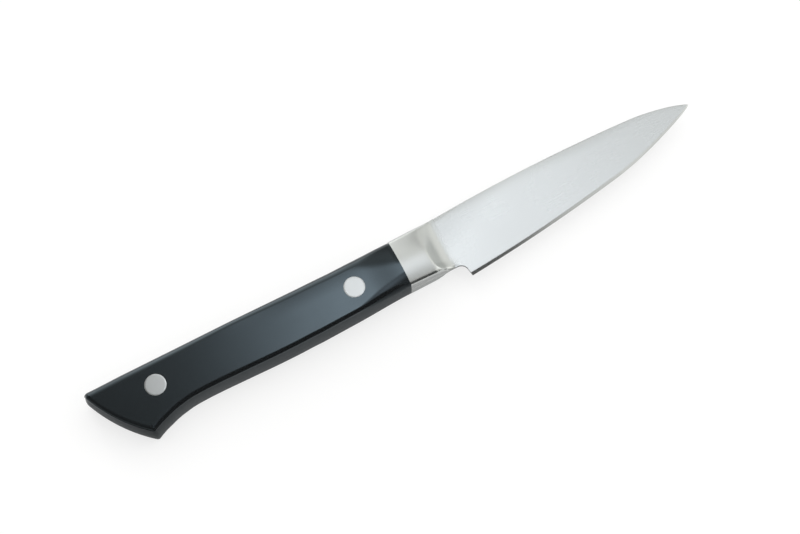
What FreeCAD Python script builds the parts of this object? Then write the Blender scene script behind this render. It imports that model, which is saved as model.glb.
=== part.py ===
import FreeCAD, Part
import math
import os
from types import SimpleNamespace

import Sketcher

# A paring knife that lies on its left side. X runs along the knife towards the tip, Y towards the
# spine and Z up through its thickness. The origin lies midway between the two handle rivets, on the
# flat of the left scale, so the middle plane of the blade is half a handle thickness up.

# Driving dimensions in millimetres, and angles in degrees. Heights and depths are taken from the
# line through the two rivets, towards the spine and towards the edge.
SIZES = {
    # Handle
    "handle_thickness": 12.0,
    "rivet_spacing": 61.1,
    "handle_lead": 14.6,
    "handle_tail": 19.9,
    "spine_height": 7.0,
    "belly_depth": 7.6,
    "beak_set": 5.7,
    "beak_depth": 12.4,
    "butt_radius": 45.0,
    "flare_length": 14.8,
    "corner_round": 1.5,
    "edge_round": 1.3,
    "taper_length": 28.6,
    "crown_length": 10.8,
    # Joint between handle and bolster
    "seam_apex": 5.8,
    "seam_crown_radius": 18.0,
    "seam_spine_height": 8.25,
    "seam_belly_depth": 6.45,
    "seam_spine_round": 3.5,
    "seam_belly_round": 1.0,
    # Bolster
    "bolster_length": 8.9,
    "bolster_fall": 1.05,
    "bolster_spine_rise": 0.85,
    "cove_radius": 4.6,
    "cove_lip": 0.12,
    # Blade
    "blade_length": 80.0,
    "blade_thickness": 2.0,
    "heel_set": 17.4,
    "heel_depth": 10.65,
    "choil_run": 1.9,
    "choil_round": 1.6,
    "edge_turn_back": 28.1,
    "edge_turn_depth": 3.5,
    "edge_radius": 560.0,
    "edge_tip_radius": 118.0,
    "tip_height": 6.5,
    "spine_turn_back": 19.1,
    "spine_turn_height": 10.3,
    "spine_radius": 560.0,
    "spine_tip_radius": 56.0,
    "edge_thickness": 0.5,
    "edge_land": 0.06,
    "bevel_angle": 15.0,
    # Tang
    "tang_height": 4.4,
    "tang_depth": 4.2,
    "tang_end_height": 3.7,
    "tang_end_depth": 3.5,
    "tang_tail": 6.0,
    "tang_end_round": 2.4,
    "pocket_clearance": 0.15,
    # Rivets
    "rivet_head_diameter": 6.1,
    "rivet_head_depth": 1.6,
    "barrel_diameter": 4.0,
    "pin_diameter": 2.8,
    "head_clearance": 0.05,
    "barrel_clearance": 0.1,
    "pin_clearance": 0.04,
    "rivet_end_gap": 0.4,
    # Reach of every cut past the solid that it cuts
    "overrun": 5.0,
}

# Two places closer than this are one place.
SAME_PLACE = 1e-6


class Size:
    """A number together with the sheet expression that it comes from."""

    def __init__(self, value, text):
        self.value = value
        self.text = text

    def __add__(self, other):
        other = as_size(other)
        return Size(self.value + other.value, f"({self.text} + {other.text})")

    def __sub__(self, other):
        other = as_size(other)
        return Size(self.value - other.value, f"({self.text} - {other.text})")

    def __mul__(self, other):
        other = as_size(other)
        return Size(self.value * other.value, f"({self.text} * {other.text})")

    def __truediv__(self, other):
        other = as_size(other)
        return Size(self.value / other.value, f"({self.text} / {other.text})")

    def __neg__(self):
        return Size(-self.value, f"(-1 * {self.text})")


def as_size(number):
    """Return a Size as it is, and a plain count or factor as a constant Size."""
    return number if isinstance(number, Size) else Size(float(number), str(number))


def root(size):
    """Square root of a Size."""
    return Size(math.sqrt(size.value), f"sqrt({size.text})")


def tangent(angle):
    """Tangent of an angle in degrees."""
    return Size(math.tan(math.radians(angle.value)), f"tan({angle.text} * 1 deg)")


doc = FreeCAD.newDocument("PARING_KNIFE")
sheet = doc.addObject("Spreadsheet::Sheet", "Sizes")
for row, (name, number) in enumerate(SIZES.items(), start=1):
    sheet.set(f"A{row}", name)
    sheet.set(f"B{row}", str(number))
    sheet.setAlias(f"B{row}", name)
doc.recompute()
size = SimpleNamespace(**{name: Size(number, f"Sizes.{name}") for name, number in SIZES.items()})

# Places that several pieces share
nothing = as_size(0)
half = size.handle_thickness / 2
blade_half = size.blade_thickness / 2
front_rivet = size.rivet_spacing / 2
rear_rivet = -front_rivet
seam = front_rivet + size.handle_lead
taper_start = seam - size.taper_length
cove_end = seam + size.bolster_length + size.cove_radius
heel = seam + size.heel_set
tip = heel + size.blade_length
neck_spine_height = size.seam_spine_height + size.bolster_spine_rise
rivet_places = [(front_rivet, nothing), (rear_rivet, nothing)]
barrel_hole = size.barrel_diameter / 2 + size.barrel_clearance


def bind(thing, prop, value):
    """Tie a property of an object to the sheet."""
    thing.setExpression(prop, value.text)


def new_body(name, x=nothing):
    """Make an empty body whose own middle plane is the middle plane of the blade."""
    body = doc.addObject("PartDesign::Body", name)
    body.Label = name
    bind(body, "Placement.Base.x", x)
    bind(body, "Placement.Base.z", half)
    return body


def origin_plane(body, role):
    return next(plane for plane in body.Origin.OriginFeatures if plane.Role == role)


def new_sketch(body, name, role, offset):
    """Attach an empty sketch to one of the body's origin planes, lifted by an offset."""
    sketch = body.newObject("Sketcher::SketchObject", name)
    sketch.AttachmentSupport = [(origin_plane(body, role), "")]
    sketch.MapMode = "FlatFace"
    bind(sketch, "AttachmentOffset.Base.z", offset)
    return sketch


def pin_point(sketch, curve, place, point):
    """Hold one end of a curve at a point given in sheet sizes."""
    for kind, value in zip(("DistanceX", "DistanceY"), point):
        index = sketch.addConstraint(Sketcher.Constraint(kind, -1, 1, curve, place, value.value))
        sketch.setExpression(f"Constraints[{index}]", value.text)


def hold_radius(sketch, curve, radius):
    index = sketch.addConstraint(Sketcher.Constraint("Radius", curve, radius.value))
    sketch.setExpression(f"Constraints[{index}]", radius.text)


def arc_between(start, end, radius, turns_left):
    """The shorter arc from one point to another."""
    chord = end - start
    across = FreeCAD.Vector(-chord.y, chord.x, 0) / chord.Length
    reach = math.sqrt(radius ** 2 - (chord.Length / 2) ** 2)
    centre = start + chord / 2 + across * (reach if turns_left else -reach)
    first, last = (start, end) if turns_left else (end, start)
    circle = Part.Circle(centre, FreeCAD.Vector(0, 0, 1), radius)
    return Part.ArcOfCircle(circle, circle.parameter(first), circle.parameter(last))


def outline(body, name, role, steps, offset=nothing):
    """Draw a closed outline. Each step is a corner and the curve that leads on from it.

    The curve is None for a straight line, or a radius with True where the arc turns left and False
    where it turns right.
    """
    sketch = new_sketch(body, name, role, offset)
    corners = [FreeCAD.Vector(point[0].value, point[1].value, 0) for point, curve in steps]
    starts, ends = [], []
    for number, (point, curve) in enumerate(steps):
        start, end = corners[number], corners[(number + 1) % len(steps)]
        if curve is None:
            index = sketch.addGeometry(Part.LineSegment(start, end))
            order = (1, 2)
        else:
            radius, turns_left = curve
            index = sketch.addGeometry(arc_between(start, end, radius.value, turns_left))
            order = (1, 2) if turns_left else (2, 1)
        starts.append((index, order[0]))
        ends.append((index, order[1]))
    for number, (point, curve) in enumerate(steps):
        sketch.addConstraint(Sketcher.Constraint("Coincident", *ends[number - 1], *starts[number]))
        pin_point(sketch, *starts[number], point)
        if curve is not None:
            hold_radius(sketch, starts[number][0], curve[0])
    return sketch


def circles(body, name, role, centres, radius, offset=nothing):
    """Draw equal circles on one of the body's origin planes."""
    sketch = new_sketch(body, name, role, offset)
    for centre in centres:
        middle = FreeCAD.Vector(centre[0].value, centre[1].value, 0)
        index = sketch.addGeometry(Part.Circle(middle, FreeCAD.Vector(0, 0, 1), radius.value))
        pin_point(sketch, index, 3, centre)
        hold_radius(sketch, index, radius)
    return sketch


def pad(body, name, sketch, height, both_ways=False):
    feature = body.newObject("PartDesign::Pad", name)
    feature.Profile = sketch
    feature.SideType = "Symmetric" if both_ways else "One side"
    bind(feature, "Length", height)
    doc.recompute()
    return feature


def pocket(body, name, sketch, depth, upwards=False, both_ways=False, along=None):
    """Cut a sketch out of a body, and stop if the cut removes nothing."""
    before = body.Shape.Volume
    feature = body.newObject("PartDesign::Pocket", name)
    feature.Profile = sketch
    feature.Reversed = upwards
    feature.SideType = "Symmetric" if both_ways else "One side"
    if along is not None:
        feature.UseCustomVector = True
        feature.AlongSketchNormal = False
        for axis, value in zip("xyz", along):
            bind(feature, f"Direction.{axis}", value)
    bind(feature, "Length", depth)
    doc.recompute()
    if body.Shape.Volume >= before:
        raise RuntimeError(f"{name} cuts nothing")
    return feature


def round_edges(body, name, radius, test):
    """Round the edges of the body's newest feature that pass a test."""
    base = body.Tip
    picked = [f"Edge{number}" for number, edge in enumerate(base.Shape.Edges, start=1) if test(edge)]
    feature = body.newObject("PartDesign::Fillet", name)
    feature.Base = (base, picked)
    bind(feature, "Radius", radius)
    doc.recompute()
    return feature


def loft(body, name, sections):
    feature = body.newObject("PartDesign::AdditiveLoft", name)
    feature.Profile = sections[0]
    feature.Sections = sections[1:]
    feature.Ruled = True
    doc.recompute()
    return feature


def near(number, value):
    """Whether a measured place is the place that a Size gives."""
    return math.isclose(number, value.value, abs_tol=SAME_PLACE)


def upright_at(edge, *places):
    """Whether an edge stands square to the blade's plane at one of the given places along X."""
    box = edge.BoundBox
    stands = near(box.XLength, nothing) and near(box.YLength, nothing)
    return stands and any(near(box.XMin, place) for place in places)


def flat_section(body, name, x, depth, height, belly_round, spine_round):
    """Handle section with a flat side: belly, rounded corner, flat, rounded corner, spine."""
    belly = -depth
    steps = [
        ((belly, nothing), None),
        ((height, nothing), None),
        ((height, half - spine_round), (spine_round, True)),
        ((height - spine_round, half), None),
        ((belly + belly_round, half), (belly_round, True)),
        ((belly, half - belly_round), None),
    ]
    return outline(body, name, "YZ_Plane", steps, x)


def crown_section(body, name, x, floor, apex, height):
    """Section with a crowned side, an arc whose corners are rounded tangent to it."""
    crown = size.seam_crown_radius
    belly_round = size.seam_belly_round
    spine_round = size.seam_spine_round
    belly = -size.seam_belly_depth
    centre = apex - crown

    def corner(y, radius):
        """Middle of a corner round at y, and the point where it meets the crown."""
        reach = crown - radius
        z = centre + root(reach * reach - y * y)
        return z, (y * crown / reach, centre + (z - centre) * crown / reach)

    belly_middle, belly_meet = corner(belly + belly_round, belly_round)
    spine_middle, spine_meet = corner(height - spine_round, spine_round)
    steps = [
        ((belly, floor), None),
        ((height, floor), None),
        ((height, spine_middle), (spine_round, True)),
        (spine_meet, (crown, True)),
        (belly_meet, (belly_round, True)),
        ((belly, belly_middle), None),
    ]
    return outline(body, name, "YZ_Plane", steps, x)


def tang_steps(room):
    """The tang's outline from the handle's front end back, with room added all round it."""
    back = rear_rivet - size.tang_tail - room
    return [
        ((seam, size.tang_height + room), None),
        ((back, size.tang_end_height + room), None),
        ((back, -size.tang_end_depth - room), None),
        ((seam, -size.tang_depth - room), None),
    ]


def round_tang_end(body, name, room):
    """Round the two corners at the back of the tang, or of the pocket that takes it."""
    back = rear_rivet - size.tang_tail - room
    round_edges(body, name, size.tang_end_round + room, lambda edge: upright_at(edge, back))


def make_blade():
    """Blade, bolster plate and tang in one piece of sheet steel, ground on both sides."""
    body = new_body("blade")
    belly = -size.seam_belly_depth
    choil = heel - size.choil_run
    cutting_edge = [
        ((heel, -size.heel_depth), (size.edge_radius, True)),
        ((tip - size.edge_turn_back, -size.edge_turn_depth), (size.edge_tip_radius, True)),
    ]
    tip_corner = (tip, size.tip_height)
    steps = [
        ((seam, belly), None),
        ((choil, belly), None),
        *cutting_edge,
        (tip_corner, (size.spine_tip_radius, True)),
        ((tip - size.spine_turn_back, size.spine_turn_height), (size.spine_radius, True)),
        ((cove_end, neck_spine_height), None),
        ((seam, size.seam_spine_height), None),
        *tang_steps(nothing),
    ]
    blank = outline(body, "blank_outline", "XY_Plane", steps)
    pad(body, "blank", blank, size.blade_thickness, both_ways=True)
    round_edges(body, "choil", size.choil_round, lambda edge: upright_at(edge, choil))
    round_tang_end(body, "tang_end", nothing)
    holes = circles(body, "tang_hole_circles", "XY_Plane", rivet_places, barrel_hole)
    pocket(body, "tang_holes", holes, size.blade_thickness + size.overrun, both_ways=True)

    # Each side is ground flat, from full thickness on the spine at the neck to the thickness behind
    # the edge at the heel, and leans in along the blade so that the tip is as thin as the heel.
    edge_half = size.edge_thickness / 2
    slope = (blade_half - edge_half) / (neck_spine_height + size.heel_depth)
    fall = slope * (size.tip_height + size.heel_depth) / size.blade_length
    low = -size.heel_depth - size.overrun
    high = neck_spine_height + size.overrun
    past_tip = tip + size.overrun
    for side, sign in (("right", 1), ("left", -1)):
        z_low = (edge_half - slope * size.overrun) * sign
        z_high = (blade_half + slope * size.overrun) * sign
        z_out = (blade_half + size.overrun) * sign
        wedge = [
            ((low, z_low), None),
            ((high, z_high), None),
            ((high, z_out), None),
            ((low, z_out), None),
        ]
        section = outline(body, f"{side}_grind_section", "YZ_Plane", wedge, cove_end)
        lean = (as_size(1), nothing, -fall * sign)
        pocket(body, f"{side}_grind", section, past_tip - cove_end, along=lean)

        # The sharpened bevel follows the cutting edge and leaves a hair of thickness there.
        below_edge = [
            *cutting_edge,
            (tip_corner, None),
            ((past_tip, size.tip_height), None),
            ((past_tip, low), None),
            ((choil, low), None),
            ((choil, -size.heel_depth), None),
        ]
        land = size.edge_land / 2 * sign
        region = outline(body, f"{side}_bevel_outline", "XY_Plane", below_edge, land)
        lean = (nothing, as_size(1), tangent(size.bevel_angle) * sign)
        pocket(body, f"{side}_bevel", region, size.overrun, along=lean)
    return body


def make_bolster():
    """Right cheek: a crowned block on the plate, with a hollow cove that runs out onto the blade."""
    body = new_body("bolster_right")
    front_apex = size.seam_apex - size.bolster_fall
    sections = [
        crown_section(body, "bolster_rear", seam, blade_half, size.seam_apex, size.seam_spine_height),
        crown_section(body, "bolster_front", cove_end, blade_half, front_apex, neck_spine_height),
    ]
    loft(body, "bolster_block", sections)
    middle = (cove_end, blade_half + size.cove_lip + size.cove_radius)
    cove = circles(body, "cove_circle", "XZ_Plane", [middle], size.cove_radius)
    pocket(body, "cove", cove, (neck_spine_height + size.overrun) * 2, both_ways=True)
    return body


def make_scale():
    """Right handle scale, with the tang pocket, the rivet holes and the seats of the rivet heads."""
    body = new_body("handle_scale_right")
    butt = rear_rivet - size.handle_tail
    beak = rear_rivet - size.beak_set
    drop = size.beak_depth - size.belly_depth
    flare_radius = (size.flare_length * size.flare_length + drop * drop) / (drop * 2)
    steps = [
        ((taper_start, size.spine_height), None),
        ((butt, size.spine_height), (size.butt_radius, True)),
        ((beak, -size.beak_depth), (flare_radius, False)),
        ((beak + size.flare_length, -size.belly_depth), None),
        ((taper_start, -size.belly_depth), None),
    ]
    pad(body, "grip", outline(body, "grip_outline", "XY_Plane", steps), half)
    round_edges(body, "butt_corners", size.corner_round, lambda edge: upright_at(edge, butt, beak))

    def on_side(edge):
        """Whether an edge bounds the flat side anywhere but at the start of the front taper."""
        box = edge.BoundBox
        return near(box.ZMin, half) and near(box.ZMax, half) and not near(box.XMin, taper_start)

    round_edges(body, "grip_edges", size.edge_round, on_side)

    # The front narrows in a straight line, keeps its flat past the rivet, then turns to the crown.
    share = (size.taper_length - size.crown_length) / size.taper_length

    def along_taper(back, front):
        """A size on the straight taper where the flat ends."""
        return back + (front - back) * share

    crown_start_sizes = (
        along_taper(size.belly_depth, size.seam_belly_depth),
        along_taper(size.spine_height, size.seam_spine_height),
        along_taper(size.edge_round, size.seam_belly_round),
        along_taper(size.edge_round, size.seam_spine_round),
    )
    taper_sizes = (size.belly_depth, size.spine_height, size.edge_round, size.edge_round)
    sections = [
        flat_section(body, "taper_start", taper_start, *taper_sizes),
        flat_section(body, "crown_start", seam - size.crown_length, *crown_start_sizes),
        crown_section(body, "handle_front", seam, nothing, size.seam_apex, size.seam_spine_height),
    ]
    loft(body, "front_taper", sections)

    room = size.pocket_clearance
    ahead = seam + size.overrun
    mouth = [((ahead, -size.tang_depth - room), None), ((ahead, size.tang_height + room), None)]
    slot = outline(body, "tang_pocket_outline", "XY_Plane", [*mouth, *tang_steps(room)])
    pocket(body, "tang_pocket", slot, blade_half, upwards=True)
    round_tang_end(body, "tang_pocket_end", room)
    holes = circles(body, "rivet_hole_circles", "XY_Plane", rivet_places, barrel_hole)
    pocket(body, "rivet_holes", holes, half + size.overrun, upwards=True)
    seat_radius = size.rivet_head_diameter / 2 + size.head_clearance
    seats = circles(body, "rivet_seat_circles", "XY_Plane", rivet_places, seat_radius, half)
    pocket(body, "rivet_seats", seats, size.rivet_head_depth)
    return body


def turned(name, x, profile):
    """Turn a profile of radius and height about an upright axis at x."""
    body = new_body(name, x)
    sketch = outline(body, f"{name}_profile", "XZ_Plane", [(point, None) for point in profile])
    feature = body.newObject("PartDesign::Revolution", f"{name}_turned")
    feature.Profile = sketch
    feature.ReferenceAxis = (sketch, ["V_Axis"])
    doc.recompute()
    return body


def make_rivet(name, x):
    """Two-piece rivet: a barrel with its head in the right scale and a pin with its head in the left."""
    head = size.rivet_head_diameter / 2
    barrel = size.barrel_diameter / 2
    pin = size.pin_diameter / 2
    bore = pin + size.pin_clearance
    under_head = half - size.rivet_head_depth
    shank_end = under_head - size.rivet_end_gap
    barrel_profile = [
        (nothing, half),
        (nothing, under_head),
        (bore, under_head),
        (bore, -shank_end),
        (barrel, -shank_end),
        (barrel, under_head),
        (head, under_head),
        (head, half),
    ]
    pin_profile = [
        (nothing, -half),
        (head, -half),
        (head, -under_head),
        (pin, -under_head),
        (pin, shank_end),
        (nothing, shank_end),
    ]
    return [
        turned(f"{name}_rivet_barrel", x, barrel_profile),
        turned(f"{name}_rivet_pin", x, pin_profile),
    ]


def mirrored(name, source):
    """The left-hand twin of a right-hand piece, mirrored in the middle plane of the blade."""
    twin = doc.addObject("Part::Mirroring", name)
    twin.Label = name
    twin.Source = source
    twin.Normal = FreeCAD.Vector(0, 0, 1)
    bind(twin, "Base.z", half)
    return twin


bolster = make_bolster()
scale = make_scale()
pieces = [
    make_blade(),
    bolster,
    mirrored("bolster_left", bolster),
    scale,
    mirrored("handle_scale_left", scale),
    *make_rivet("front", front_rivet),
    *make_rivet("rear", rear_rivet),
]
doc.recompute()

for thing in doc.Objects:
    if "Invalid" in thing.State or "Error" in thing.State:
        raise RuntimeError(f"{thing.Label} failed: {thing.State}")
for piece in pieces:
    shape = piece.Shape
    if shape.isNull() or not shape.isValid() or len(shape.Solids) != 1:
        raise RuntimeError(f"{piece.Label} is not one sound solid")

os.makedirs("parts", exist_ok=True)
for piece in pieces:
    piece.Shape.exportStep(f"parts/{piece.Label}.step")
    print(f"{piece.Label}: {piece.Shape.Volume:.1f} cubic millimetres")
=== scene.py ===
# %% [markdown]
# A paring knife lies on a white table, lit for a product picture. The imported solids are loaded
# first, because they fix where everything is, and each surface below is worked out in the same
# place. Each piece that replaces a solid prints that solid's box beside it.

# %% Load the knife's solids
import math

import bmesh
import bpy
import numpy as np
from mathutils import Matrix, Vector


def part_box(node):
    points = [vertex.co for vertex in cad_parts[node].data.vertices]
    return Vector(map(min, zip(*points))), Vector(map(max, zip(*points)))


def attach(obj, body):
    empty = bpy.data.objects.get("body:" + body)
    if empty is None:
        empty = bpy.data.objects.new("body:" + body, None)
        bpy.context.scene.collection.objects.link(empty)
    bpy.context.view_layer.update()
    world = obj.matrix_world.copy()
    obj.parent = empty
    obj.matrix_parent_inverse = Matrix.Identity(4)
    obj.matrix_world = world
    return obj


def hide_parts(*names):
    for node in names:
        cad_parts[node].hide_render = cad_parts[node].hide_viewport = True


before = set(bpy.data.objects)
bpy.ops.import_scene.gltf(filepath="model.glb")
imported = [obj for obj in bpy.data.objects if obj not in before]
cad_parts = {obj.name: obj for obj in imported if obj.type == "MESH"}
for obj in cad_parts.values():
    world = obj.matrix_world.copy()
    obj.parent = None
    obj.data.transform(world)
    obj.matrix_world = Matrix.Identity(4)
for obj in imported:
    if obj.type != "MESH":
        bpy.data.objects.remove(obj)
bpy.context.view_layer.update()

MM = 0.001
print("solids:", sorted(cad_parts))

# %% [markdown]
# The camera looks down on the table from the belly side of the knife. It could be placed by its
# position and angles, but the point that it looks at and the two angles of the way back are what
# can be read from a picture.

# %% Camera
AZIMUTH = math.radians(-27.22)
ELEVATION = math.radians(73.0)
DISTANCE = 0.52284
LOOKED_AT = Vector((0.04621, 0.0026, 0.0))
FOCAL_PIXELS, PICTURE_WIDTH = 1825.14, 800
SENSOR = 36.0

way_back = Vector((
    math.sin(AZIMUTH) * math.cos(ELEVATION),
    -math.cos(AZIMUTH) * math.cos(ELEVATION),
    math.sin(ELEVATION),
))
camera = bpy.data.objects.new("camera", bpy.data.cameras.new("camera"))
camera.data.sensor_width = SENSOR
camera.data.lens = FOCAL_PIXELS / PICTURE_WIDTH * SENSOR
camera.location = LOOKED_AT + way_back * DISTANCE
camera.rotation_euler = (-way_back).to_track_quat("-Z", "Y").to_euler()
bpy.context.scene.collection.objects.link(camera)
bpy.context.scene.camera = camera
bpy.context.scene.view_settings.view_transform = "Standard"
print("camera at", [round(v, 4) for v in camera.location])

# %% [markdown]
# Nodes are easier to read when each is made on one line. The first helper adds any node, sets its
# values, and joins its inputs to sockets. Three more make the kinds that come up all the time:
# numbers, vectors, and a smooth fade between two numbers.

# %% Node helpers
def add(tree, kind, settings=None, **inputs):
    """A node with settings as its attributes and each input set to a value or joined to a socket.
    An input goes by its label with spaces as underscores, or by an underscore and its number."""
    node = tree.nodes.new(kind)
    for key, value in (settings or {}).items():
        setattr(node, key, value)
    for key, value in inputs.items():
        place = int(key[1:]) if key[0] == "_" else key.replace("_", " ")
        if isinstance(value, bpy.types.NodeSocket):
            tree.links.new(value, node.inputs[place])
        else:
            node.inputs[place].default_value = value
    return node


def maths(tree, operation, *values):
    """The number that a Math node makes of some values or sockets."""
    inputs = {f"_{i}": value for i, value in enumerate(values)}
    return add(tree, "ShaderNodeMath", {"operation": operation}, **inputs).outputs[0]


def vectors(tree, operation, *values, **named):
    """The vector that a Vector Math node makes of some values, or its number for a dot product."""
    inputs = {f"_{i}": value for i, value in enumerate(values)}
    node = add(tree, "ShaderNodeVectorMath", {"operation": operation}, **inputs, **named)
    return node.outputs["Value" if operation == "DOT_PRODUCT" else "Vector"]


def fade(tree, value, start, stop, first=0.0, last=1.0):
    """A smooth step from a first number to a last one, while a value goes from start to stop."""
    return add(tree, "ShaderNodeMapRange", {"interpolation_type": "SMOOTHSTEP"}, Value=value,
               From_Min=start, From_Max=stop, To_Min=first, To_Max=last).outputs[0]


def new_material(name):
    """An empty node material and its output node."""
    material = bpy.data.materials.new(name)
    material.use_nodes = True
    material.node_tree.nodes.clear()
    return material, material.node_tree.nodes.new("ShaderNodeOutputMaterial")


print("node helpers:", [f.__name__ for f in (add, maths, vectors, fade, new_material)])

# %% [markdown]
# The table is a white sheet, a wide square that could as well be an endless plane. It is plain
# diffuse white, which takes the knife's soft shadow, and the camera and reflections see it mixed
# with some pure white, so the shadow stays pale as on a lit table.

# %% Table
TABLE_HALF = 4.0
TABLE_COLOUR = (0.97, 0.97, 0.97, 1)
TABLE_WHITE, TABLE_GLINT = 0.7, 0.3
SQUARE = ((-1, -1), (1, -1), (1, 1), (-1, 1))


def sheet_of(name, corners):
    """One flat face through four corners, as an object in the scene."""
    mesh = bpy.data.meshes.new(name)
    mesh.from_pydata(corners, [], [(0, 1, 2, 3)])
    sheet = bpy.data.objects.new(name, mesh)
    bpy.context.scene.collection.objects.link(sheet)
    return sheet


table = sheet_of("table", [(a * TABLE_HALF, b * TABLE_HALF, 0) for a, b in SQUARE])

white_sheet, sheet_out = new_material("white_sheet")
tree = white_sheet.node_tree
lit = add(tree, "ShaderNodeBsdfDiffuse", Color=TABLE_COLOUR)
white = add(tree, "ShaderNodeEmission", Color=(1, 1, 1, 1), Strength=1.0)
rays = add(tree, "ShaderNodeLightPath").outputs
mirrored = maths(tree, "MAXIMUM", rays["Is Glossy Ray"], rays["Is Transmission Ray"])
mirrored = maths(tree, "MULTIPLY", mirrored, TABLE_GLINT)
direct = maths(tree, "MULTIPLY", rays["Is Camera Ray"], TABLE_WHITE)
share = maths(tree, "MAXIMUM", direct, mirrored)
mixed = add(tree, "ShaderNodeMixShader", _0=share, _1=lit.outputs[0], _2=white.outputs[0])
tree.links.new(mixed.outputs[0], sheet_out.inputs["Surface"])
table.data.materials.append(white_sheet)
print("table", 2 * TABLE_HALF, "m wide")

# %% [markdown]
# The knife is lit as in a small studio: pale walls, a roof that grows brighter towards the tip's
# side, and eight soft lamps. Each could be a lamp of its own, but polished things show the light's
# picture, so the world holds it all as one picture by direction.

# %% Light of the studio
WALL = (0.76, 0.76, 0.73, 1)
WALL_TO, ROOF_FROM = 0.12, 0.45
ROOF_COLOUR = (1.0, 1.0, 0.96)
ROOF_LEVEL, ROOF_SLOPE = -0.287, (1.88, -0.05, 0.0)
ROOF_LEAST, ROOF_MOST = 0.16, 0.83
ANY_HEIGHT = 1000.0
# The direction, the width and the colour of each lamp, all of which reach from wall to roof
LAMPS = [
    ((0.111, 0.232), (0.058, 0.089), (5.15, 5.3, 5.55)),
    ((0.255, 0.03), (0.105, 0.186), (1.8, 1.85, 1.98)),
    ((0.11, 0.56), (0.17, 0.25), (1.2, 1.2, 1.16)),
    ((0.035, 0.94), (0.135, 0.28), (2.8, 2.8, 2.8)),
    ((0.85, -0.22), (0.27, 0.3), (0.85, 0.85, 0.83)),
    ((0.48, 0.3), (0.13, 0.17), (0.58, 0.58, 0.56)),
    ((0.38, -0.4), (0.12, 0.2), (0.6, 0.6, 0.58)),
    ((-0.66, 0.62), (0.3, 0.35), (0.7, 0.7, 0.7)),
]


def bell(tree, way, centre, width):
    """A glow round a centre: e to the power of minus the squared distance in widths."""
    apart = vectors(tree, "DIVIDE", vectors(tree, "SUBTRACT", way, centre), width)
    square = vectors(tree, "DOT_PRODUCT", apart, apart)
    return maths(tree, "EXPONENT", maths(tree, "MULTIPLY", square, -1.0))


world = bpy.data.worlds.new("studio")
world.use_nodes = True
tree = world.node_tree
way = add(tree, "ShaderNodeTexCoord").outputs["Generated"]
level = maths(tree, "ADD", vectors(tree, "DOT_PRODUCT", way, ROOF_SLOPE), ROOF_LEVEL)
level = add(tree, "ShaderNodeClamp", Value=level, Min=ROOF_LEAST, Max=ROOF_MOST).outputs[0]
roof = vectors(tree, "SCALE", ROOF_COLOUR, Scale=level)
height = add(tree, "ShaderNodeSeparateXYZ", _0=way).outputs["Z"]
roofed = fade(tree, height, WALL_TO, ROOF_FROM)
picture = add(tree, "ShaderNodeMix", {"data_type": "RGBA"}, _0=roofed, _6=WALL, _7=roof).outputs[2]
for centre, width, colour in LAMPS:
    glow = vectors(tree, "SCALE", colour, Scale=bell(tree, way, (*centre, 0), (*width, ANY_HEIGHT)))
    picture = vectors(tree, "ADD", picture, glow)
tree.links.new(picture, tree.nodes["Background"].inputs["Color"])
bpy.context.scene.world = world
print("lamps in the world:", len(LAMPS))

# %% [markdown]
# A wide sun overhead brings the table up to a plain white. The world could be brighter instead, but
# then the steel would show it. A sun that reflections leave out has no picture in the steel.

# %% Daylight
SUN_POWER, SUN_ANGLE, SUN_TURN = 1.5, 90.0, (-8.0, 4.0, 0.0)

sun = bpy.data.objects.new("daylight", bpy.data.lights.new("daylight", "SUN"))
sun.data.energy = SUN_POWER
sun.data.angle = math.radians(SUN_ANGLE)
sun.rotation_euler = [math.radians(v) for v in SUN_TURN]
sun.visible_glossy = False
bpy.context.scene.collection.objects.link(sun)
print("daylight", SUN_ANGLE, "degrees wide")

# %% [markdown]
# Polished things also need something dark to show, so a dark cloth hangs behind the camera. It
# could be a card, but its edges have to fade slowly, so its density follows from the direction in
# which the knife sees each spot. On the left it ends early, or the blade would look black from
# behind. It is left to reflections alone.

# %% Black cloth
CLOTH_WAY = Vector((-0.15, -0.6, 0.75)).normalized()
CLOTH_HALF = 1.4
CLOTH_FRONT, CLOTH_LEFT = (-0.39, -0.058), (-0.34, -0.18)
CLOTH_SLANT, CLOTH_SIDE = (1.0, 0.6, 0.0), (0.03, 0.175)
CLOTH_COLOUR = (0.1, 0.1, 0.1, 1)


def leave_to_reflections(sheet):
    """Hides a sheet from the camera and from the table, and lets it throw no shadow."""
    sheet.visible_camera = sheet.visible_diffuse = sheet.visible_shadow = False


def weave(sheet, material, out, dense, colour):
    """Puts a cloth on a sheet: that colour where it is dense, and clear where it isn't."""
    tree = material.node_tree
    clear = add(tree, "ShaderNodeBsdfTransparent")
    dark = add(tree, "ShaderNodeBsdfDiffuse", Color=colour)
    woven = add(tree, "ShaderNodeMixShader", _0=dense, _1=clear.outputs[0], _2=dark.outputs[0])
    tree.links.new(woven.outputs[0], out.inputs["Surface"])
    sheet.data.materials.append(material)


cloth_right = Vector((0, 0, 1)).cross(CLOTH_WAY).normalized() * CLOTH_HALF
cloth_up = CLOTH_WAY.cross(cloth_right)
black_cloth = sheet_of(
    "black_cloth", [CLOTH_WAY + a * cloth_right + b * cloth_up for a, b in SQUARE])
leave_to_reflections(black_cloth)

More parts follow.
